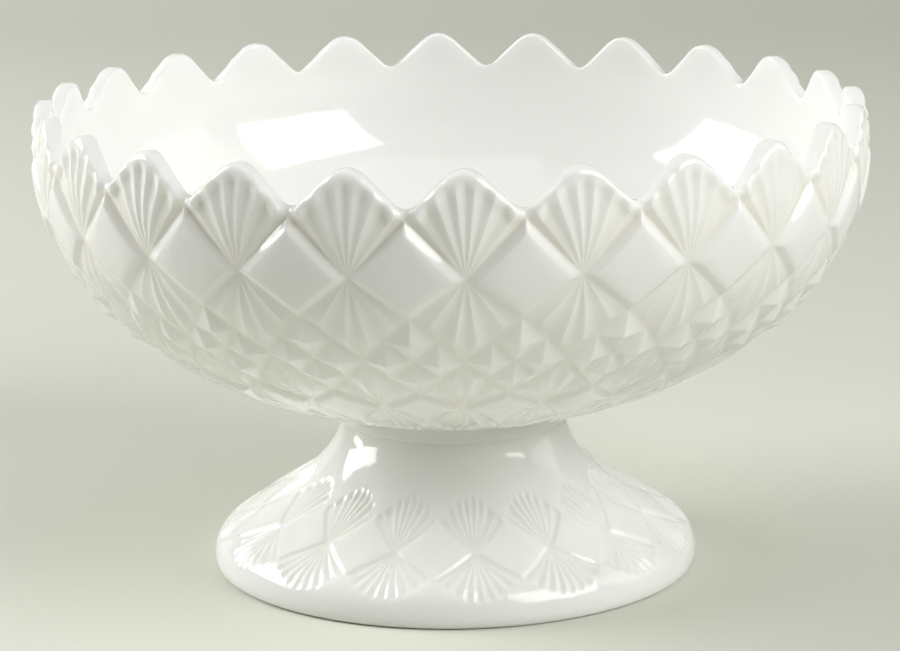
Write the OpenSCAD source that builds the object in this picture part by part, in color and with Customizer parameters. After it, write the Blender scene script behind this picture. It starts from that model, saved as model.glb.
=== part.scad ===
// Footed bowl of pressed white glass: a scalloped bowl with rows of fans and diamonds,
// set on a flared hollow foot with one row of the same ornament.
// Millimetres. The axis is Z, the table is z = 0 and a fan of the bowl faces -Y.

/* [Bowl] */
// Largest outside radius, over the relief
bowl_r = 115.7; // [110:0.1:120]
// Height of the widest level above the table
widest_z = 119.2; // [114:0.1:122]
// Fall of the outside curve from the widest level to its lowest point
bowl_fall = 76.3; // [74:0.1:78]
// Height of the rim's peaks above the widest level
rim_rise = 14; // [12:0.5:16]
// Depth of the scallops from peak to notch
scallop_depth = 10; // [6:0.5:11]
// Rounded part of a scallop's peak, as a share of the way down to the notch
peak_round = 0.36; // [0.2:0.02:0.6]
// Rounded part of the notch between two scallops, as a share of the way up to the peak
notch_round = 0.2; // [0.1:0.02:0.4]
// How far the rim leans in above the widest level
rim_lean = 1.6; // [0:0.1:2.5]
// Thickness of the wall at the rim and the widest level
bowl_wall = 5; // [4.5:0.1:7]
// Fall of the inside curve from the widest level to its lowest point
inside_fall = 64.5; // [60:0.5:66]
// Radius of the flat floor inside, where a candle can stand
floor_r = 25; // [15:1:35]

/* [Bowl ornament] */
// Columns of ornament round the bowl
bowl_columns = 24; // [20:1:28]
// Depth of the grooves
bowl_relief = 1.6; // [1:0.1:2]
// Plain margin between the scalloped edge and the upper fans
rim_margin = 1.8; // [1.6:0.1:4]
// Ribs of an upper fan, under a scallop
rim_fan_ribs = 6; // [4:1:8]
// Ribs of each of the other fans
small_fan_ribs = 4; // [2:2:6]
// Height of the pointed diamonds' tips over the plain surface
point_rise = 0.6; // [0:0.1:0.8]
// Bevel of a plain diamond, as a share of its half size
bevel_share = 0.28; // [0.2:0.02:0.5]
// Level of the knots between the first fans, in degrees down the curve
knot_1 = 10.4; // [9:0.1:12]
// Level of the lower tips of the first diamonds
tip_1 = 19.6; // [18:0.1:21]
// Level of the line through the pointed diamonds
line_level = 30.4; // [29:0.1:32]
// Level of the lower tips of the pointed diamonds
tip_2 = 40.5; // [39.5:0.1:41.5]
// Level of the knots between the lower fans
knot_2 = 47; // [46:0.1:48]
// Level of the lower tips of the last diamonds
tip_3 = 55.7; // [54:0.1:57]
// Level where the last fans end
ornament_end = 67; // [64:0.1:69]

/* [Foot] */
// Radius of the lip that stands on the table
lip_r = 68.2; // [66:0.1:71]
// Radius of the round shoulder above the lip
shoulder_r = 10; // [9:0.1:11]
// Height of the centre of that shoulder
shoulder_z = 3; // [2.5:0.1:4]
// Rounding of the lip's lower edge
edge_r = 2; // [1:0.1:2.4]
// Radius of the hollow flare under the neck
flare_r = 30; // [28:0.5:31]
// Height of the centre of that flare
flare_z = 49.7; // [48.5:0.1:50.5]
// Radius of the neck at the flare's narrowest level
neck_r = 30; // [28:0.1:31]
// Thickness of the foot's wall
foot_wall = 6.5; // [5.5:0.1:8]
// Turn of the foot's ornament against the bowl's
foot_turn = 3.6; // [0:0.1:22.5]

/* [Foot ornament] */
// Columns of ornament round the foot
foot_columns = 16; // [12:1:18]
// Depth of the grooves
foot_relief = 1.1; // [0.8:0.1:1.6]
// Ribs of a fan that points up
foot_up_ribs = 7; // [5:1:9]
// Ribs of a fan that points down
foot_down_ribs = 8; // [6:1:10]
// Where the upper fans end, along the outside from the foot's top
foot_fan_top = 14.4; // [13:0.1:16]
// Upper tips of the diamonds
foot_tip_top = 22.4; // [21:0.1:24]
// Knots between the fans
foot_knot = 34.2; // [33:0.1:35.5]
// Lower tips of the diamonds
foot_tip_low = 44.5; // [43:0.1:46]
// Where the lower fans end
foot_fan_low = 51; // [49:0.1:51.5]

/* [Joint] */
// Thickness of the wafer of hot glass that joins foot and bowl
wafer_h = 4.5; // [3:0.1:5]
// Radius of the round pad under the bowl
pad_r = 31; // [30:0.1:33]

/* [Hidden] */
milk_white = "#f3f2ec";
turns_fn = 96;
same_point = 0.0001;

// Triangles of a mesh, as lists of three points

function apart(a, b) = norm(a - b) > same_point;
function proper(t) = apart(t[0], t[1]) && apart(t[1], t[2]) && apart(t[2], t[0]);

// Strip between two rows with the same number of points
function strip(a, b) = [for (i = [0:len(a) - 2])
    for (t = [[a[i], a[i + 1], b[i + 1]], [a[i], b[i + 1], b[i]]]) if (proper(t)) t];

// Strip between two rows with different numbers of points
function zip(a, b) = let (na = len(a) - 1, nb = len(b) - 1) concat(
    [for (i = [0:na - 1]) [a[i], a[i + 1], b[round((i + 0.5) * nb / na)]]],
    [for (j = [0:nb - 1]) [a[ceil((j + 0.5) * na / nb - 0.5)], b[j + 1], b[j]]]);

// All strips between rows of equal length, in order
function strips(rows) = [for (i = [0:len(rows) - 2]) each strip(rows[i], rows[i + 1])];

// Triangles from a closed outline to one point
function cap(outline, tip) = let (n = len(outline))
    [for (i = [0:n - 1]) let (t = [outline[i], outline[(i + 1) % n], tip]) if (proper(t)) t];

module solid_from(triangles) {
    polyhedron(points = [for (t = triangles) each t],
        faces = [for (i = [0:len(triangles) - 1]) [3 * i, 3 * i + 1, 3 * i + 2]]);
}

// Flat ornament: each point is [column, level, height over the surface]

function between(a, b, share) = a + (b - a) * share;

// One row of a fan with its two half diamonds. ends runs along the fan's far edge, grooves and
// crests in turn; share is 0 at the knot and 1 at the far edge; tip_level is the diamond's tip.
function fan_row(knot, tip_level, ends, share, crest, groove) =
    let (flat = 1 - bevel_share,
         side = 0.5 - flat * 0.5 * (1 - share),
         level = between(knot, tip_level, flat * share))
    concat([[-0.5, level, 0], [-side, level, 0]],
        [for (i = [0:len(ends) - 1])
            concat(between([0, knot], ends[i], share), i % 2 == 0 ? groove : crest)],
        [[side, level, 0], [0.5, level, 0]]);

// Far edge of a fan between two diamonds' tips, pointed or round
function pointed_edge(ribs, tip_level, point_level) = [for (i = [0:2 * ribs])
    let (u = i / (2 * ribs) - 0.5) [u, between(point_level, tip_level, abs(u) * 2)]];
function round_edge(ribs, tip_level, top_level) = [for (i = [0:2 * ribs])
    let (u = i / (2 * ribs) - 0.5) [u, between(top_level, tip_level, 4 * u * u)]];

// Bowl: outside curve, inside curve and rim

level_mm = bowl_fall * PI / 180;
rim_level = -rim_rise / level_mm;

function outside(v) = v < 0
    ? [bowl_r - rim_lean * pow(v / rim_level, 2), widest_z - v * level_mm]
    : [bowl_r * cos(v), widest_z - bowl_fall * sin(v)];
function outward(v) = v < 0 ? [1, 0]
    : let (n = [bowl_fall * cos(v), -bowl_r * sin(v)]) n / norm(n);

// Place of an ornament point of one column on the bowl
function on_bowl(p, column) =
    let (at = outside(p[1]) + p[2] * outward(p[1]), turn = (p[0] + column) * 360 / bowl_columns)
    [at[0] * sin(turn), -at[0] * cos(turn), at[1]];
function bowl_rows(rows, column) = [for (row = rows) [for (p = row) on_bowl(p, column)]];

// Fall from a scallop's peak, 0, to its notch, 1: a round peak, a straight side and a round notch
side_slope = 1 / (1 - peak_round / 2 - notch_round / 2);
function scallop_fall(x) = x < peak_round ? side_slope * x * x / (2 * peak_round)
    : x < 1 - notch_round ? side_slope * (x - peak_round / 2)
    : 1 - side_slope * (1 - x) * (1 - x) / (2 * notch_round);
function scallop(u) = rim_level + scallop_depth / level_mm * scallop_fall(2 * abs(u));
function fan_edge(u) = scallop(u) + rim_margin / level_mm;

tip_0 = fan_edge(0.5);
rim_round = 0.9 / level_mm;
rim_overlap = 1;
groove_end = 0.5 / level_mm;
full_height_share = 0.35;
pad_level = acos(pad_r / bowl_r);
pad_z = outside(pad_level)[1];
rim_steps = 12;
under_steps = 4;

rim_us = [for (i = [0:rim_steps]) i / rim_steps - 0.5];
rim_ends = [for (i = [0:2 * rim_fan_ribs]) let (u = i / (2 * rim_fan_ribs) - 0.5) [u, fan_edge(u)]];
line_ends_down = pointed_edge(small_fan_ribs, tip_1, line_level);
line_ends_up = pointed_edge(small_fan_ribs, tip_2, line_level);
low_ends = round_edge(small_fan_ribs, tip_3, ornament_end);

// Rim: margin over the fans, outer edge, crest and inner edge
function rim_triangles(k) =
    let (ends = [for (i = [0:len(rim_ends) - 1])
             on_bowl(concat(rim_ends[i], i % 2 == 0 ? -bowl_relief : 0), k)],
         margin = [for (e = rim_ends) on_bowl([e[0], e[1] - groove_end, 0], k)],
         outer = [for (u = rim_us) on_bowl([u, scallop(u) + rim_round, 0], k)],
         crest = [for (u = rim_us) on_bowl([u, scallop(u), -bowl_wall / 2], k)],
         inner = [for (u = rim_us) on_bowl([u, scallop(u) + 2 * rim_round, -bowl_wall - rim_overlap], k)],
         middle = [0, 0, widest_z])
    concat(strip(margin, ends), zip(outer, margin), strips([inner, crest, outer]),
        [for (i = [0:rim_steps - 1]) [middle, inner[i + 1], inner[i]]]);

// Fans above and below a knot, with the plain diamonds beside them; a ridge is the height of the
// ribs at their far ends
function fan_pair(k, knot, up_ends, up_tip, down_ends, down_tip, up_ridge, down_ridge) =
    let (relief = bowl_relief,
         up = [for (s = [1, full_height_share])
             fan_row(knot, up_tip, up_ends, s, s == 1 ? up_ridge : 0, -relief)],
         knot_up = fan_row(knot, up_tip, up_ends, 0, -relief, -relief),
         knot_down = fan_row(knot, down_tip, down_ends, 0, -relief, -relief),
         down = [for (s = [full_height_share, 1])
             fan_row(knot, down_tip, down_ends, s, s == 1 ? down_ridge : 0, -relief)])
    concat(strips(bowl_rows(concat(up, [knot_up]), k)),
        strips(bowl_rows(concat([knot_down], down), k)));

// Half of a pointed diamond beside a column: two half pyramids and a whole one between them
function pointed_half(k, side) =
    let (r = -bowl_relief,
         rib = small_fan_ribs,
         upper = [for (i = [0:rib]) concat(line_ends_down[rib + side * (rib - i)], r)],
         lower = [for (i = [0:rib]) concat(line_ends_up[rib + side * i], r)],
         mid = [side * 0.5, line_level, r],
         half = rib / 2,
         top = concat([for (i = [0:half]) upper[i]], [mid]),
         beside = concat([for (i = [half:rib]) upper[i]], [for (i = [1:half]) lower[i]], [mid]),
         low = concat([mid], [for (i = [half:rib]) lower[i]]),
         top_tip = [side * 0.5, (tip_1 + line_level) / 2, point_rise],
         beside_tip = [side * 0.25, line_level, point_rise],
         low_tip = [side * 0.5, (line_level + tip_2) / 2, point_rise],
         faces = concat(
             [for (i = [0:len(top) - 2]) [top[i], top[i + 1], top_tip]],
             cap(beside, beside_tip),
             [for (i = [0:len(low) - 2]) [low[i], low[i + 1], low_tip]]))
    [for (t = faces) let (p = [for (q = t) on_bowl(q, k)]) side < 0 ? p : [p[0], p[2], p[1]]];

// Plain underside from the last fans to the pad, and the pad
function under_triangles(k) =
    let (ends = [for (i = [0:len(low_ends) - 1])
             on_bowl(concat(low_ends[i], i % 2 == 0 ? -bowl_relief : 0), k)],
         edge = [for (e = low_ends) on_bowl([e[0], e[1] + groove_end, 0], k)],
         us = [for (i = [0:under_steps]) i / under_steps - 0.5],
         belt = [for (u = us) on_bowl([u, between(ornament_end, pad_level, 0.5), 0], k)],
         pad = [for (u = us) on_bowl([u, pad_level, 0], k)])
    concat(strip(ends, edge), zip(edge, belt), strip(belt, pad),
        [for (i = [0:under_steps - 1]) [pad[i], pad[i + 1], [0, 0, pad_z]]]);

function bowl_column(k) = concat(
    rim_triangles(k),
    fan_pair(k, knot_1, rim_ends, tip_0, line_ends_down, tip_1, 0, -bowl_relief),
    pointed_half(k, -1), pointed_half(k, 1),
    fan_pair(k, knot_2, line_ends_up, tip_2, low_ends, tip_3, -bowl_relief, 0),
    under_triangles(k));

floor_level = acos(floor_r / (bowl_r - bowl_wall));
inside_steps = 12;
clear_cut = 5;
inside_lip = bowl_r - bowl_wall - rim_lean;

// Inside of the bowl, open past the rim
module cavity() {
    curve = [for (i = [0:inside_steps]) let (w = floor_level * i / inside_steps)
        [(bowl_r - bowl_wall) * cos(w), widest_z - inside_fall * sin(w)]];
    over = widest_z + rim_rise + clear_cut;
    rotate_extrude($fn = turns_fn)
        polygon(concat([[0, over], [inside_lip, over], [inside_lip, widest_z + rim_rise]], curve,
            [[0, curve[inside_steps][1]]]));
}

module bowl() {
    color(milk_white) difference() {
        solid_from([for (k = [0:bowl_columns - 1]) each bowl_column(k)]);
        cavity();
    }
}

// Wafer: the disc of glass that seals the foot's top to the bowl's pad. Its side carries on the
// foot's hollow flare and spreads out again under the bowl.

foot_top_z = pad_z - wafer_h;
waist_z = foot_top_z + wafer_h / 2;
function flare_at(z) = neck_r + flare_r - sqrt(pow(flare_r, 2) - pow(flare_z - z, 2));

module joining_wafer() {
    color(milk_white) rotate_extrude($fn = turns_fn)
        polygon([[0, foot_top_z], [flare_at(foot_top_z), foot_top_z], [flare_at(waist_z), waist_z],
            [pad_r, pad_z], [0, pad_z]]);
}

// Foot: outside curve by length from its top: hollow flare, straight slope, round shoulder

centres = [neck_r + flare_r, flare_z] - [lip_r - shoulder_r, shoulder_z];
slope_angle = atan2(centres[1], centres[0]) - acos((flare_r + shoulder_r) / norm(centres));
flare_start = asin((flare_z - foot_top_z) / flare_r);
flare_len = flare_r * (slope_angle - flare_start) * PI / 180;
slope_from = [neck_r + flare_r * (1 - cos(slope_angle)), flare_z - flare_r * sin(slope_angle)];
slope_to = [lip_r - shoulder_r * (1 - cos(slope_angle)), shoulder_z + shoulder_r * sin(slope_angle)];
slope_len = norm(slope_to - slope_from);
slope_normal = let (d = (slope_to - slope_from) / slope_len) [-d[1], d[0]];

function foot_curve(s) = s < flare_len
    ? let (a = flare_start + s * 180 / PI / flare_r)
        [[neck_r + flare_r * (1 - cos(a)), flare_z - flare_r * sin(a)], [cos(a), sin(a)]]
    : s < flare_len + slope_len
    ? [between(slope_from, slope_to, (s - flare_len) / slope_len), slope_normal]
    : let (a = slope_angle - (s - flare_len - slope_len) * 180 / PI / shoulder_r)
        [[lip_r - shoulder_r * (1 - cos(a)), shoulder_z + shoulder_r * sin(a)], [cos(a), sin(a)]];

shoulder_end = flare_len + slope_len + shoulder_r * slope_angle * PI / 180;
foot_groove_end = 0.9;
foot_steps = 4;
foot_us = [for (i = [0:foot_steps]) i / foot_steps - 0.5];
neck_share = 0.55;
shoulder_share = 0.35;
shoulder_row_share = 0.7;
hollow_from = foot_fan_top * 0.6;
hollow_to = shoulder_end - 1;

function around_foot(r, z, u, k) =
    let (turn = foot_turn + (u + k) * 360 / foot_columns) [r * sin(turn), -r * cos(turn), z];
function on_foot(p, k) = let (c = foot_curve(p[1]), at = c[0] + p[2] * c[1])
    around_foot(at[0], at[1], p[0], k);
function foot_rows(rows, k) = [for (row = rows) [for (p = row) on_foot(p, k)]];

up_edge = round_edge(foot_up_ribs, foot_tip_top, foot_fan_top);
down_edge = round_edge(foot_down_ribs, foot_tip_low, foot_fan_low);

function edge_row(edge, shift) = [for (i = [0:len(edge) - 1])
    concat(edge[i] + [0, shift], shift == 0 && i % 2 == 0 ? -foot_relief : 0)];
function plain_ring(s) = [for (u = foot_us) [u, s, 0]];

function foot_column(k) =
    let (g = -foot_relief,
         top = plain_ring(0),
         neck = plain_ring(foot_fan_top * neck_share),
         fans_up = [for (s = [1, full_height_share])
             fan_row(foot_knot, foot_tip_top, up_edge, s, 0, g)],
         knot_up = fan_row(foot_knot, foot_tip_top, up_edge, 0, g, g),
         knot_down = fan_row(foot_knot, foot_tip_low, down_edge, 0, g, g),
         fans_down = [for (s = [full_height_share, shoulder_row_share, 1])
             fan_row(foot_knot, foot_tip_low, down_edge, s, 0, g)],
         shoulder = [for (s = [shoulder_share, 1]) plain_ring(between(foot_fan_low, shoulder_end, s))],
         lip = [for (a = [0, 45, 90]) let (r = lip_r - edge_r * (1 - cos(a)))
             [for (u = foot_us) around_foot(r, edge_r * (1 - sin(a)), u, k)]],
         up = foot_rows([edge_row(up_edge, -foot_groove_end), edge_row(up_edge, 0)], k),
         down = foot_rows([edge_row(down_edge, 0), edge_row(down_edge, foot_groove_end)], k),
         tops = foot_rows([top, neck], k),
         sides = foot_rows(shoulder, k))
    concat(
        [for (i = [0:foot_steps - 1]) [[0, 0, foot_top_z], tops[0][i + 1], tops[0][i]]],
        strips(tops), zip(tops[1], up[0]), strips(up),
        strips(foot_rows(concat(fans_up, [knot_up]), k)),
        strips(foot_rows(concat([knot_down], fans_down), k)),
        strips(down), zip(down[1], sides[0]), strips(concat(sides, lip)),
        [for (i = [0:foot_steps - 1]) [lip[2][i], lip[2][i + 1], [0, 0, 0]]]);

// Inside of the foot: the outside curve moved in by the wall's thickness
module hollow() {
    inner = [for (i = [0:inside_steps])
        let (c = foot_curve(between(hollow_from, hollow_to, i / inside_steps)))
        c[0] - foot_wall * c[1]];
    low = inner[inside_steps];
    rotate_extrude($fn = turns_fn)
        polygon(concat([[0, inner[0][1]]], inner, [[low[0], -clear_cut], [0, -clear_cut]]));
}

module foot() {
    color(milk_white) difference() {
        solid_from([for (k = [0:foot_columns - 1]) each foot_column(k)]);
        hollow();
    }
}

bowl();
joining_wafer();
foot();
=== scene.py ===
import math
from collections import namedtuple

import bmesh
import bpy
from mathutils import Matrix, Vector


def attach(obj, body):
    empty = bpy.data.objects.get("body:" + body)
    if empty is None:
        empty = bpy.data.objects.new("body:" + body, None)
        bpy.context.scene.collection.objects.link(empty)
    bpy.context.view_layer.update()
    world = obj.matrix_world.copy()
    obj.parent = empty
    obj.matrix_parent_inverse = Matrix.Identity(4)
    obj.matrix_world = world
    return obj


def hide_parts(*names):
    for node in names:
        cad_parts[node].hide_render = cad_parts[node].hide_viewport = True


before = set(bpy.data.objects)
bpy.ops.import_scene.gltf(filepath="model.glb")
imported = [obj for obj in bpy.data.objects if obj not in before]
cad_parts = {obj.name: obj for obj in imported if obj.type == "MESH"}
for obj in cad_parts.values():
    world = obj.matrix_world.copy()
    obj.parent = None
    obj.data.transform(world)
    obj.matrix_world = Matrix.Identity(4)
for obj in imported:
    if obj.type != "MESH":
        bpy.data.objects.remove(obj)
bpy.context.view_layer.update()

# Sizes are in millimetres, as in the construction. A place in the ornament is (column, level, height):
# column 0 is the middle of a fan and 0.5 the middle of the diamond beside it, level runs down the
# outside curve, and height is over the plain surface, so grooves are below 0.
MM = 0.001

# Bowl: an ellipse of revolution below its widest level, leaning in a little above it
BOWL_COLUMNS = 24
BOWL_R = 115.7
WIDEST_Z = 119.2
BOWL_FALL = 76.3
RIM_RISE = 14.0
RIM_LEAN = 1.6
SCALLOP_DEPTH = 10.0
PEAK_ROUND = 0.36
NOTCH_ROUND = 0.2
PEAK_MARGIN = 2.3
SIDE_MARGIN = 1.9
BOWL_WALL = 5.0
RIM_ROUND_OUT = 1.8
RIM_ROUND_IN = 1.0
INSIDE_FALL = 64.5
FLOOR_R = 25.0
PAD_R = 31.0
BOWL_RELIEF = 1.7
BOWL_BEVEL = 0.25
POINT_RISE = 0.6
POINT_DEPTH = 0.7
PYRAMID_HALF = 0.25
RIM_FAN_RIBS = 6
SMALL_FAN_RIBS = 4

# Levels of the bowl's ornament, in degrees down the ellipse
KNOT_1 = 10.4
TIP_1 = 19.6
LINE_LEVEL = 30.4
TIP_2 = 40.5
KNOT_2 = 47.0
TIP_3 = 55.7
ORNAMENT_END = 67.0

# Foot: hollow flare, straight slope and round shoulder; its levels are millimetres from its top
FOOT_COLUMNS = 16
FOOT_TURN = math.radians(3.6)
NECK_R = 30.0
FLARE_R = 30.0
FLARE_Z = 49.7
LIP_R = 68.2
SHOULDER_R = 10.0
SHOULDER_Z = 3.0
EDGE_R = 2.0
FOOT_WALL = 6.5
FOOT_RELIEF = 0.9
FOOT_BEVEL = 0.16
FOOT_UP_RIBS = 7
FOOT_DOWN_RIBS = 8
FOOT_FAN_TOP = 14.4
FOOT_TIP_TOP = 22.4
FOOT_KNOT = 34.2
FOOT_TIP_LOW = 44.5
FOOT_FAN_LOW = 51.0

# Wafer of glass between foot and bowl, and the edge taken off where it meets the foot
WAFER_H = 4.5
WAFER_EDGE = 1.2
SEAM = 0.12

# Grid lines crowd towards crests, grooves and edges, so that these stay crisp when shaded smooth
RIB_STEPS = (0.0, 0.12, 0.5, 0.88)
BEVEL_STEPS = (0.15, 0.32, 0.5, 0.68, 0.85, 1.0)
FLAT_STEPS = (0.5, 1.0)
FACET_STEPS = (0.0, 0.08, 0.5, 1.0)
FAN_SHARES = (0.0, 0.07, 0.16, 0.28, 0.42, 0.58, 0.72, 0.82, 0.87, 0.91, 0.96, 1.0)

# Form of a fan, in shares of its relief's depth, of its length from the knot, or of its half width.
# It rises from its sunk knot to an arch that is highest along its middle.
KNOT_SHARE = 0.7
KNOT_PATCH = 0.07
RISE_SHARE = 0.5
FAN_CROWN = 0.2
FAN_ARCH = 3.2
RIB_ROUND = 1.4
BEVEL_SOFT = 0.4
# Its flutes run out over the last part of its length, the crests between them a little sooner
END_SHARE = 0.89
END_ROUND = 0.05
# Under the rim they reach the edge only on the scallop's sides, and the side grooves reach the notch
RIM_RIB_SHARE = 0.4
FLUTES_FROM = 0.2
FLUTES_FADE = 0.3
NOTCH_SHARE = 0.75
NOTCH_FROM = 0.75


def mix(a, b, share):
    return a + (b - a) * share


def ease(x):
    x = min(max(x, 0.0), 1.0)
    return x * x * (3 - 2 * x)


# Curves of the bowl and the foot: (radius, height) and the outward direction at a level

LEVEL_MM = BOWL_FALL * math.pi / 180
RIM_LEVEL = -RIM_RISE / LEVEL_MM


def bowl_curve(level):
    if level < 0:
        lean = RIM_LEAN * (level / RIM_LEVEL) ** 2
        return Vector((BOWL_R - lean, WIDEST_Z - level * LEVEL_MM)), Vector((1, 0))
    a = math.radians(level)
    out = Vector((BOWL_FALL * math.cos(a), -BOWL_R * math.sin(a)))
    return Vector((BOWL_R * math.cos(a), WIDEST_Z - BOWL_FALL * math.sin(a))), out.normalized()


PAD_LEVEL = math.degrees(math.acos(PAD_R / BOWL_R))
PAD_Z = bowl_curve(PAD_LEVEL)[0].y
FOOT_TOP_Z = PAD_Z - WAFER_H
CENTRES = Vector((NECK_R + FLARE_R - LIP_R + SHOULDER_R, FLARE_Z - SHOULDER_Z))
SLOPE = math.atan2(CENTRES.y, CENTRES.x) - math.acos((FLARE_R + SHOULDER_R) / CENTRES.length)
FLARE_FROM = math.asin((FLARE_Z - FOOT_TOP_Z) / FLARE_R)
FLARE_LEN = FLARE_R * (SLOPE - FLARE_FROM)
SLOPE_FROM = Vector((NECK_R + FLARE_R * (1 - math.cos(SLOPE)), FLARE_Z - FLARE_R * math.sin(SLOPE)))
SLOPE_TO = Vector((LIP_R - SHOULDER_R * (1 - math.cos(SLOPE)), SHOULDER_Z + SHOULDER_R * math.sin(SLOPE)))
SLOPE_LEN = (SLOPE_TO - SLOPE_FROM).length
SHOULDER_END = FLARE_LEN + SLOPE_LEN + SHOULDER_R * SLOPE


def foot_curve(level):
    if level < FLARE_LEN:
        a = FLARE_FROM + level / FLARE_R
        at = Vector((NECK_R + FLARE_R * (1 - math.cos(a)), FLARE_Z - FLARE_R * math.sin(a)))
        return at, Vector((math.cos(a), math.sin(a)))
    if level < FLARE_LEN + SLOPE_LEN:
        along = (SLOPE_TO - SLOPE_FROM) / SLOPE_LEN
        return SLOPE_FROM + along * (level - FLARE_LEN), Vector((-along.y, along.x))
    a = SLOPE - (level - FLARE_LEN - SLOPE_LEN) / SHOULDER_R
    at = Vector((LIP_R - SHOULDER_R * (1 - math.cos(a)), SHOULDER_Z + SHOULDER_R * math.sin(a)))
    return at, Vector((math.cos(a), math.sin(a)))


def turned(radius, height, angle):
    return Vector((radius * math.sin(angle), -radius * math.cos(angle), height)) * MM


def on_bowl(column, level, height=0.0):
    at, out = bowl_curve(level)
    at = at + out * height
    return turned(at.x, at.y, column * math.tau / BOWL_COLUMNS)


def on_foot(column, level, height=0.0):
    at, out = foot_curve(level)
    at = at + out * height
    return turned(at.x, at.y, FOOT_TURN + column * math.tau / FOOT_COLUMNS)


def scallop(column):
    """Level of the rim: a round peak, a straight side and a round notch."""
    x = 2 * abs(column)
    slope = 1 / (1 - PEAK_ROUND / 2 - NOTCH_ROUND / 2)
    if x < PEAK_ROUND:
        fall = slope * x * x / (2 * PEAK_ROUND)
    elif x < 1 - NOTCH_ROUND:
        fall = slope * (x - PEAK_ROUND / 2)
    else:
        fall = 1 - slope * (1 - x) ** 2 / (2 * NOTCH_ROUND)
    return RIM_LEVEL + SCALLOP_DEPTH / LEVEL_MM * fall


# Grids of glass surface, bent to the ornament

def grid(bm, across, along, place):
    """A grid of quads with its lines at the given shares; place gives each crossing's point and how
    many millimetres deep it lies in a groove."""
    depth = bm.verts.layers.float["groove"]
    made = bmesh.ops.create_grid(bm, x_segments=len(across) - 1, y_segments=len(along) - 1, size=0.5)
    for vert in made["verts"]:
        i = round((vert.co.x + 0.5) * (len(across) - 1))
        j = round((vert.co.y + 0.5) * (len(along) - 1))
        vert.co, vert[depth] = place(across[i], along[j])


def rib_lines(ribs):
    """Shares across a fan from its middle, 0, to its side, 1, on both sides."""
    half = [(k + x) / ribs for k in range(ribs) for x in RIB_STEPS] + [1.0]
    return [-x for x in reversed(half[1:])] + half


def ornament_lines(ribs):
    """Shares across a whole column: the fan to 1, the diamond's bevel to 2 and its flat to 3."""
    beside = [1 + x for x in BEVEL_STEPS] + [2 + x for x in FLAT_STEPS]
    return [-x for x in reversed(beside)] + rib_lines(ribs) + beside


def flute(a, ribs):
    """0 on the crest between two flutes of a fan and 1 in the middle of one."""
    return abs(math.cos(math.pi * ribs * (a + 1) / 2))


def rim_flute(a):
    """Depth of the flutes where they meet the rim: none at its peak, full on its sides, and down to
    the grooves beside the diamonds at its notches."""
    reach = ease((abs(a) - FLUTES_FROM) / FLUTES_FADE)
    ribs = RIM_RIB_SHARE * flute(a, RIM_FAN_RIBS) ** RIB_ROUND * reach
    return mix(ribs, NOTCH_SHARE, ease((abs(a) - NOTCH_FROM) / (1 - NOTCH_FROM)))


# How a fan is cut: depth in mm, how round its ribs are, the depth of its flutes and of its sides
# as shares of that, the bevel's share of the diamond beside it, and the depth left at its far edge
Cut = namedtuple("Cut", "relief sharpness rib_share side_share bevel far")
RIM_CUT = Cut(relief=BOWL_RELIEF, sharpness=RIB_ROUND, rib_share=RIM_RIB_SHARE, side_share=1.15,
              bevel=BOWL_BEVEL, far=rim_flute)
POINTED_CUT = Cut(relief=BOWL_RELIEF, sharpness=1.0, rib_share=0.5, side_share=0.6,
                  bevel=BOWL_BEVEL, far=lambda a: POINT_DEPTH)
LOW_CUT = Cut(relief=BOWL_RELIEF, sharpness=RIB_ROUND, rib_share=0.4, side_share=0.5,
              bevel=BOWL_BEVEL, far=lambda a: 0.0)
FOOT_CUT = Cut(relief=FOOT_RELIEF, sharpness=RIB_ROUND, rib_share=0.6, side_share=0.6,
               bevel=FOOT_BEVEL, far=lambda a: 0.0)


def fan(bm, wrap, knot, tip, edge, ribs, cut):
    """One fan from its knot to its far edge, with the half diamond on each side of it."""
    flat = 1 - cut.bevel

    def place(a, share):
        side = math.copysign(1, a)
        x = abs(a)
        rise = ease((share - KNOT_PATCH) / RISE_SHARE)
        run_out = ease((share - END_SHARE) / (1 - END_SHARE))
        border = Vector((0.5 * share, mix(knot, edge(0.5), share)))
        flat_edge = Vector((0.5 - 0.5 * flat * (1 - share), mix(knot, tip, flat * share)))
        lie = mix(KNOT_SHARE, mix(FAN_CROWN, cut.side_share, min(x, 1.0) ** FAN_ARCH), rise)
        if x <= 1:
            end = Vector((0.5 * x, edge(0.5 * x)))
            at = Vector((0, knot)).lerp(end, share)
            wave = flute(a, ribs)
            beside = ease(1 - (1 - x) * ribs)
            groove = cut.rib_share * share * wave ** cut.sharpness * (1 - beside)
            round_end = END_ROUND * (1 - wave) * (1 - beside)
            run_out = ease((share - END_SHARE + round_end) / (1 - END_SHARE))
            depth = mix(lie + groove, cut.far(a), run_out)
        elif x <= 2:
            at = border.lerp(flat_edge, x - 1)
            depth = mix(lie, cut.far(1.0), run_out) * (1 - mix(x - 1, ease(x - 1), BEVEL_SOFT))
        else:
            at = flat_edge.lerp(Vector((0.5, flat_edge.y)), x - 2)
            depth = 0.0
        groove_mm = cut.relief * depth
        return wrap(side * at.x, at.y, -groove_mm), groove_mm

    grid(bm, ornament_lines(ribs), FAN_SHARES, place)


def pyramid_half(bm, middle, level, up, down, side):
    """Half of a pointed diamond's small pyramid, from its upright ridge to its corner at one side."""
    steps = [2 * x for x in rib_lines(SMALL_FAN_RIBS) if abs(x) <= 0.5]

    def place(p, q):
        out = p * (1 - abs(q))
        fall = out + abs(q)
        at = level + q * (up if q < 0 else down)
        groove_mm = BOWL_RELIEF * POINT_DEPTH
        height = mix(POINT_RISE, -groove_mm, fall)
        return on_bowl(middle + side * PYRAMID_HALF * out, at, height), groove_mm * fall

    grid(bm, FACET_STEPS, steps, place)


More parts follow.
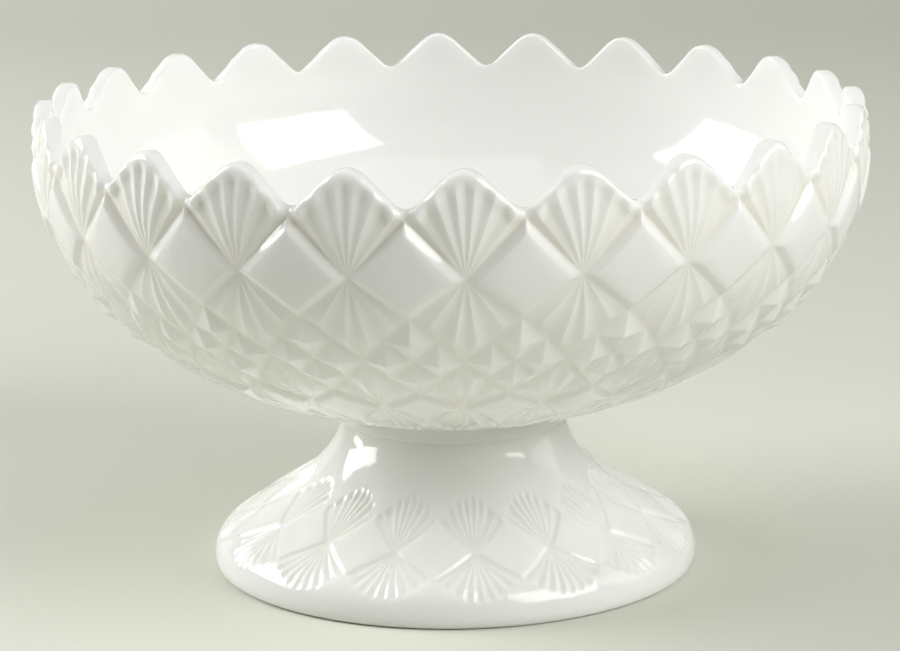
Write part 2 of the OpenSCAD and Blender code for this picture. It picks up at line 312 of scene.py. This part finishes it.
def pointed_diamonds(bm):
    """The two half diamonds beside a column, each of two half pyramids and a whole one."""
    up = (LINE_LEVEL - TIP_1) / 2
    down = (TIP_2 - LINE_LEVEL) / 2
    for side in (-1, 1):
        pyramid_half(bm, side * 0.5, TIP_1 + up, up, up, -side)
        pyramid_half(bm, side * PYRAMID_HALF, LINE_LEVEL, up, down, -1)
        pyramid_half(bm, side * PYRAMID_HALF, LINE_LEVEL, up, down, 1)
        pyramid_half(bm, side * 0.5, TIP_2 - down, down, down, -side)


def fan_edge(column):
    """Level where the upper fans end: close to the rim's sides and further below its peaks."""
    margin = mix(PEAK_MARGIN, SIDE_MARGIN, ease(4 * abs(column)))
    return scallop(column) + margin / LEVEL_MM


def rim_and_inside(bm):
    """Margin over the fans, the rim with its round edges and the plain inside to the middle of the floor."""
    corner = [(1 - math.cos(a), 1 - math.sin(a)) for a in (math.pi / 8 * i for i in range(5))]
    over_rim = [(RIM_ROUND_OUT * inset, RIM_ROUND_OUT * below) for inset, below in corner]
    over_rim += [(BOWL_WALL - RIM_ROUND_IN * inset, RIM_ROUND_IN * below)
                 for inset, below in reversed(corner)]
    last = len(over_rim) - 1
    floor_angle = math.acos(FLOOR_R / (BOWL_R - BOWL_WALL))
    floor_z = WIDEST_Z - INSIDE_FALL * math.sin(floor_angle)
    wall_steps = (0.5, 1.0)
    curve_steps = [i / 8 for i in range(1, 9)]
    floor_steps = (0.6, 1.0)
    along = [0.0] + [1 + i / last for i in range(last + 1)] + [2 + x for x in wall_steps]
    along += [3 + x for x in curve_steps] + [4 + x for x in floor_steps]

    def place(f, b):
        column = f / 2
        top = scallop(column)
        turn = column * math.tau / BOWL_COLUMNS
        cut_in = BOWL_RELIEF * rim_flute(f)
        if b < 1:
            return on_bowl(column, fan_edge(column), -cut_in), cut_in
        if b <= 2:
            inset, below = over_rim[round((b - 1) * last)]
            left = 1 - inset / BOWL_WALL
            return on_bowl(column, top + below / LEVEL_MM, mix(-BOWL_WALL, -cut_in, left)), cut_in * left
        if b <= 3:
            level = mix(top + RIM_ROUND_IN / LEVEL_MM, 0.0, b - 2)
            return on_bowl(column, level, -BOWL_WALL), 0.0
        if b <= 4:
            a = (b - 3) * floor_angle
            radius = (BOWL_R - BOWL_WALL) * math.cos(a)
            return turned(radius, WIDEST_Z - INSIDE_FALL * math.sin(a), turn), 0.0
        return turned(FLOOR_R * (5 - b), floor_z, turn), 0.0

    grid(bm, rib_lines(RIM_FAN_RIBS), along, place)


def low_edge(column):
    return mix(ORNAMENT_END, TIP_3, 4 * column * column)


def underside(bm):
    """Plain glass from the last fans to the pad, and the flat pad itself."""
    def place(f, b):
        column = f / 2
        if b <= 1:
            return on_bowl(column, mix(low_edge(column), PAD_LEVEL, b)), 0.0
        return turned(PAD_R * (2 - b), PAD_Z, column * math.tau / BOWL_COLUMNS), 0.0

    grid(bm, rib_lines(SMALL_FAN_RIBS), (0.0, 0.25, 0.5, 0.75, 1.0, 2.0), place)


def foot_up_edge(column):
    return mix(FOOT_FAN_TOP, FOOT_TIP_TOP, 4 * column * column)


def foot_down_edge(column):
    return mix(FOOT_FAN_LOW, FOOT_TIP_LOW, 4 * column * column)


def neck(bm):
    """Flat top of the foot with its edge taken off, and the plain flare above its fans."""
    top_edge = 0.9

    def place(f, b):
        column = f / 2
        if b < 1:
            angle = FOOT_TURN + column * math.tau / FOOT_COLUMNS
            return turned((foot_curve(0)[0].x - SEAM) * b / top_edge, FOOT_TOP_Z, angle), 0.0
        return on_foot(column, mix(SEAM, foot_up_edge(column), b - 1)), 0.0

    grid(bm, rib_lines(FOOT_UP_RIBS), (0.0, top_edge, 1.0, 1.25, 1.5, 1.75, 2.0), place)


def skirt_and_hollow(bm):
    """Plain shoulder under the fans, the lip, the base ring and the hollow inside of the foot."""
    hollow_from = SHOULDER_END - 1
    hollow_to = FOOT_FAN_TOP * 0.6
    shoulder = (0.0, 0.25, 0.5, 0.75, 1.0)
    lip = [1 + i / 4 for i in range(1, 5)]
    along = list(shoulder) + lip + [3 + i / 10 for i in range(11)] + [5.0]

    def place(f, b):
        column = f / 2
        angle = FOOT_TURN + column * math.tau / FOOT_COLUMNS
        if b <= 1:
            return on_foot(column, mix(foot_down_edge(column), SHOULDER_END, b)), 0.0
        if b <= 2:
            a = (b - 1) * math.pi / 2
            return turned(LIP_R - EDGE_R * (1 - math.cos(a)), EDGE_R * (1 - math.sin(a)), angle), 0.0
        at, out = foot_curve(mix(hollow_from, hollow_to, min(b - 3, 1.0)))
        at = at - out * FOOT_WALL
        if b == 3:
            return turned(at.x, 0.0, angle), 0.0
        return turned(at.x * (5 - max(b, 4)), at.y, angle), 0.0

    grid(bm, rib_lines(FOOT_DOWN_RIBS), along, place)


# Pieces

SHARP_CORNER = math.radians(60)


def glass_piece(name, columns, fill):
    """A piece whose one column is turned round the axis, welded and shaded smooth."""
    bm = bmesh.new()
    # Each vertex keeps its groove depth in mm, which the glass material reads to paint shade into the grooves
    bm.verts.layers.float.new("groove")
    fill(bm)
    geom = bm.verts[:] + bm.edges[:] + bm.faces[:]
    bmesh.ops.spin(bm, geom=geom, axis=(0, 0, 1), cent=(0, 0, 0), steps=columns - 1,
                   angle=-math.tau * (columns - 1) / columns, use_duplicate=True)
    bmesh.ops.remove_doubles(bm, verts=bm.verts[:], dist=0.01 * MM)
    bmesh.ops.dissolve_degenerate(bm, edges=bm.edges[:], dist=0.001 * MM)
    return finished(bm, name)


def finished(bm, name):
    bmesh.ops.recalc_face_normals(bm, faces=bm.faces[:])
    for face in bm.faces:
        face.smooth = True
    for edge in bm.edges:
        edge.smooth = edge.calc_face_angle(0) < SHARP_CORNER
    mesh = bpy.data.meshes.new(name)
    bm.to_mesh(mesh)
    bm.free()
    piece = bpy.data.objects.new(name, mesh)
    bpy.context.scene.collection.objects.link(piece)
    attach(piece, "root")
    return piece


def fill_bowl(bm):
    rim_and_inside(bm)
    fan(bm, on_bowl, KNOT_1, fan_edge(0.5), fan_edge, RIM_FAN_RIBS, RIM_CUT)
    fan(bm, on_bowl, KNOT_1, TIP_1, lambda c: mix(LINE_LEVEL, TIP_1, 2 * c), SMALL_FAN_RIBS,
        POINTED_CUT)
    pointed_diamonds(bm)
    fan(bm, on_bowl, KNOT_2, TIP_2, lambda c: mix(LINE_LEVEL, TIP_2, 2 * c), SMALL_FAN_RIBS,
        POINTED_CUT)
    fan(bm, on_bowl, KNOT_2, TIP_3, low_edge, SMALL_FAN_RIBS, LOW_CUT)
    underside(bm)


def fill_foot(bm):
    neck(bm)
    fan(bm, on_foot, FOOT_KNOT, FOOT_TIP_TOP, foot_up_edge, FOOT_UP_RIBS, FOOT_CUT)
    fan(bm, on_foot, FOOT_KNOT, FOOT_TIP_LOW, foot_down_edge, FOOT_DOWN_RIBS, FOOT_CUT)
    skirt_and_hollow(bm)


def make_wafer():
    """The disc of glass between foot and bowl, spun from half its outline: its side carries on the
    foot's hollow flare and rounds in under the bowl."""
    bm = bmesh.new()
    bm.verts.layers.float.new("groove")
    steps = 12
    outline = [(0, 0), (foot_curve(0)[0].x - SEAM, 0)]
    for i in range(steps + 1):
        rise = mix(SEAM, WAFER_H, i / steps)
        flare = NECK_R + FLARE_R - math.sqrt(FLARE_R ** 2 - (FLARE_Z - FOOT_TOP_Z - rise) ** 2)
        past = max(0, rise - WAFER_H + WAFER_EDGE)
        outline.append((flare - WAFER_EDGE + math.sqrt(WAFER_EDGE ** 2 - past ** 2), rise))
    outline.append((0, WAFER_H))
    verts = [bm.verts.new(Vector((r, 0, FOOT_TOP_Z + rise)) * MM) for r, rise in outline]
    edges = [bm.edges.new(pair) for pair in zip(verts, verts[1:])]
    bmesh.ops.spin(bm, geom=verts + edges, axis=(0, 0, 1), cent=(0, 0, 0), steps=144,
                   angle=math.tau, use_merge=True)
    bmesh.ops.remove_doubles(bm, verts=bm.verts[:], dist=0.001 * MM)
    return finished(bm, "wafer_of_joining_glass")


# Materials

def linear(hex_colour):
    """An sRGB hex value as linear RGBA."""
    parts = [int(hex_colour[i:i + 2], 16) / 255 for i in (1, 3, 5)]
    return [c / 12.92 if c <= 0.04045 else ((c + 0.055) / 1.055) ** 2.4 for c in parts] + [1.0]


def add(tree, kind, settings=None, links=None):
    """Adds a node, sets its properties and sockets, and links the given outputs to its inputs."""
    node = tree.nodes.new(kind)
    for key, value in (settings or {}).items():
        if isinstance(key, str) and hasattr(node, key):
            setattr(node, key, value)
        else:
            node.inputs[key].default_value = value
    for key, source in (links or {}).items():
        tree.links.new(source, node.inputs[key])
    return node


def new_material(name):
    material = bpy.data.materials.new(name)
    material.use_nodes = True
    material.node_tree.nodes.clear()
    return material, material.node_tree


def opal_glass():
    """Opal glass, pressed and fire-polished: milk white with light that soaks in a millimetre or two,
    a wet gloss, and the faint ripple that the polishing flame leaves. A cream tint painted into the
    grooves, stronger the deeper they are, is painted shade. Round the joint nothing soaks in, or light
    would be lost at its hidden faces and the melted glass would look like a darker ring."""
    material, tree = new_material("opal_glass_pressed_fire_polished")
    where = add(tree, "ShaderNodeTexCoord").outputs["Object"]
    depth = add(tree, "ShaderNodeAttribute", {"attribute_name": "groove"}).outputs["Fac"]
    clouds_mm, ripple_mm, grain_mm = 45.0, 9.0, 1.6
    # Depths in mm over which the painted shade in the grooves grows from none to full
    painted_shade_from_mm, painted_shade_to_mm = 0.4, 1.7
    joint_mm, clear_of_joint_mm = 4, 12
    clouds = add(tree, "ShaderNodeTexNoise", {"Scale": 1 / (clouds_mm * MM), "Detail": 3.0},
                 {"Vector": where}).outputs["Fac"]
    body = add(tree, "ShaderNodeMix", {"data_type": "RGBA", 6: linear("#F9FAF7"), 7: linear("#F5F6F0")},
               {0: clouds}).outputs[2]
    # Painted shade: a cream tint is mixed into the glass colour, more of it the deeper the groove, standing
    # in for the shade that gathers in the grooves
    painted_groove_shade = add(tree, "ShaderNodeMapRange", {"From Min": painted_shade_from_mm, "From Max": painted_shade_to_mm,
                                              "To Max": 0.3},
                {"Value": depth}).outputs["Result"]
    colour = add(tree, "ShaderNodeMix", {"data_type": "RGBA", 7: linear("#E4DED0")},
                 {0: painted_groove_shade, 6: body}).outputs[2]
    ripple = add(tree, "ShaderNodeTexNoise", {"Scale": 1 / (ripple_mm * MM), "Detail": 1.0},
                 {"Vector": where}).outputs["Fac"]
    grain = add(tree, "ShaderNodeTexNoise", {"Scale": 1 / (grain_mm * MM), "Detail": 2.0},
                {"Vector": where}).outputs["Fac"]
    gloss = add(tree, "ShaderNodeMapRange", {"To Min": 0.05, "To Max": 0.11},
                {"Value": grain}).outputs["Result"]
    bump = add(tree, "ShaderNodeBump", {"Strength": 0.12, "Distance": 0.4 * MM},
               {"Height": ripple}).outputs["Normal"]
    height = add(tree, "ShaderNodeSeparateXYZ", None, {"Vector": where}).outputs["Z"]
    above = add(tree, "ShaderNodeMath", {"operation": "SUBTRACT", 1: (PAD_Z - WAFER_H / 2) * MM},
                {0: height}).outputs["Value"]
    away = add(tree, "ShaderNodeMath", {"operation": "ABSOLUTE"}, {0: above}).outputs["Value"]
    soak = add(tree, "ShaderNodeMapRange", {"From Min": joint_mm * MM, "From Max": clear_of_joint_mm * MM,
                                            "To Max": 0.7}, {"Value": away}).outputs["Result"]
    shader = add(tree, "ShaderNodeBsdfPrincipled",
                 {"IOR": 1.5, "Subsurface Radius": (1.0, 0.95, 0.88), "Subsurface Scale": 2 * MM},
                 {"Base Color": colour, "Roughness": gloss, "Normal": bump, "Subsurface Weight": soak})
    add(tree, "ShaderNodeOutputMaterial", None, {"Surface": shader.outputs["BSDF"]})
    return material


def studio_paper():
    """Matt background paper under and behind the object: warm grey, without texture. Its back doesn't
    show, so that it hides nothing in views from behind and below."""
    material, tree = new_material("studio_paper_matt")
    shader = add(tree, "ShaderNodeBsdfPrincipled", {"Base Color": linear("#D9DACF"), "Roughness": 0.9,
                                                    "Specular IOR Level": 0.2})
    back = add(tree, "ShaderNodeNewGeometry").outputs["Backfacing"]
    camera_ray = add(tree, "ShaderNodeLightPath").outputs["Is Camera Ray"]
    hidden = add(tree, "ShaderNodeMath", {"operation": "MULTIPLY"}, {0: back, 1: camera_ray}).outputs["Value"]
    nothing = add(tree, "ShaderNodeBsdfTransparent").outputs["BSDF"]
    sheet = add(tree, "ShaderNodeMixShader", None, {0: hidden, 1: shader.outputs["BSDF"], 2: nothing})
    add(tree, "ShaderNodeOutputMaterial", None, {"Surface": sheet.outputs["Shader"]})
    return material


bowl = glass_piece("bowl_of_pressed_glass", BOWL_COLUMNS, fill_bowl)
foot = glass_piece("foot_of_pressed_glass", FOOT_COLUMNS, fill_foot)
wafer = make_wafer()
glass = opal_glass()
for piece, node in ((bowl, "bowl"), (foot, "foot"), (wafer, "joining_wafer")):
    piece.data.materials.append(glass)
    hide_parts(node)


# Studio: a paper sweep, soft lamps at both sides and above

def make_sweep():
    """Paper that lies under the object and curves up behind it."""
    depth_front, depth_back, rise, bend, half_width = 1.2, 1.0, 1.8, 0.5, 2.5
    bend_steps = 12
    bm = bmesh.new()
    outline = [Vector((-half_width, -depth_front, 0)), Vector((-half_width, depth_back, 0))]
    for i in range(1, bend_steps + 1):
        a = math.pi / 2 * i / bend_steps
        outline.append(Vector((-half_width, depth_back + bend * math.sin(a), bend * (1 - math.cos(a)))))
    outline.append(Vector((-half_width, depth_back + bend, rise)))
    verts = [bm.verts.new(p) for p in outline]
    edges = [bm.edges.new(pair) for pair in zip(verts, verts[1:])]
    made = bmesh.ops.extrude_edge_only(bm, edges=edges)
    moved = [g for g in made["geom"] if isinstance(g, bmesh.types.BMVert)]
    bmesh.ops.translate(bm, verts=moved, vec=(2 * half_width, 0, 0))
    for face in bm.faces:
        face.smooth = True
    mesh = bpy.data.meshes.new("paper_sweep")
    bm.to_mesh(mesh)
    bm.free()
    sweep = bpy.data.objects.new("paper_sweep", mesh)
    bpy.context.scene.collection.objects.link(sweep)
    sweep.data.materials.append(studio_paper())


def softbox(name, azimuth, elevation, distance, width, height, watts):
    """A rectangular lamp aimed at the object; azimuth is in degrees to the right of the front."""
    a, e = math.radians(azimuth), math.radians(elevation)
    middle = Vector((0, 0, 0.08))
    away = Vector((math.cos(e) * math.sin(a), -math.cos(e) * math.cos(a), math.sin(e)))
    data = bpy.data.lights.new(name, "AREA")
    data.shape = "RECTANGLE"
    data.size = width
    data.size_y = height
    data.energy = watts
    light = bpy.data.objects.new(name, data)
    light.location = middle + away * distance
    light.rotation_euler = (-away).to_track_quat("-Z", "Y").to_euler()
    bpy.context.scene.collection.objects.link(light)


def make_light():
    """Lamps, and a dim room that shows pale only to the camera and in the glass's reflections."""
    softbox("right_softbox", azimuth=51, elevation=34, distance=1.6, width=1.06, height=0.94, watts=17.5)
    softbox("right_fill", azimuth=95, elevation=25, distance=2.2, width=1.1, height=1.1, watts=5)
    softbox("left_softbox", azimuth=-105, elevation=27, distance=1.5, width=0.94, height=0.84, watts=21)
    softbox("top_softbox", azimuth=0, elevation=80, distance=2.0, width=1.6, height=1.6, watts=8)
    dim, pale = 0.01, 0.8
    world = bpy.data.worlds.new("pale_room")
    bpy.context.scene.world = world
    world.use_nodes = True
    tree = world.node_tree
    tree.nodes.clear()
    rays = add(tree, "ShaderNodeLightPath").outputs
    seen = add(tree, "ShaderNodeMath", {"operation": "MAXIMUM"},
               {0: rays["Is Camera Ray"], 1: rays["Is Glossy Ray"]}).outputs["Value"]
    strength = add(tree, "ShaderNodeMapRange", {"To Min": dim, "To Max": pale},
                   {"Value": seen}).outputs["Result"]
    room = add(tree, "ShaderNodeBackground", {"Color": linear("#DCDDD2")}, {"Strength": strength})
    add(tree, "ShaderNodeOutputWorld", None, {"Surface": room.outputs["Background"]})


def make_camera():
    """The photograph's view, from a fit of the rim and the foot."""
    distance, height = 0.9337, 0.2908
    aside, pitch, roll, yaw = math.radians(-1.71), 0.2350, 0.012, 0.0008
    data = bpy.data.cameras.new("camera")
    data.sensor_width = 36
    data.lens = 136.8
    camera = bpy.data.objects.new("camera", data)
    turn = Matrix.Rotation(aside, 4, "Z")
    aim = Matrix.Rotation(math.pi / 2 - pitch, 4, "X") @ Matrix.Rotation(yaw, 4, "Y")
    camera.matrix_world = (turn @ Matrix.Translation((0, -distance, height)) @ aim
                           @ Matrix.Rotation(-roll, 4, "Z"))
    bpy.context.scene.collection.objects.link(camera)
    bpy.context.scene.camera = camera


make_sweep()
make_light()
make_camera()
bpy.context.scene.view_settings.view_transform = "Standard"
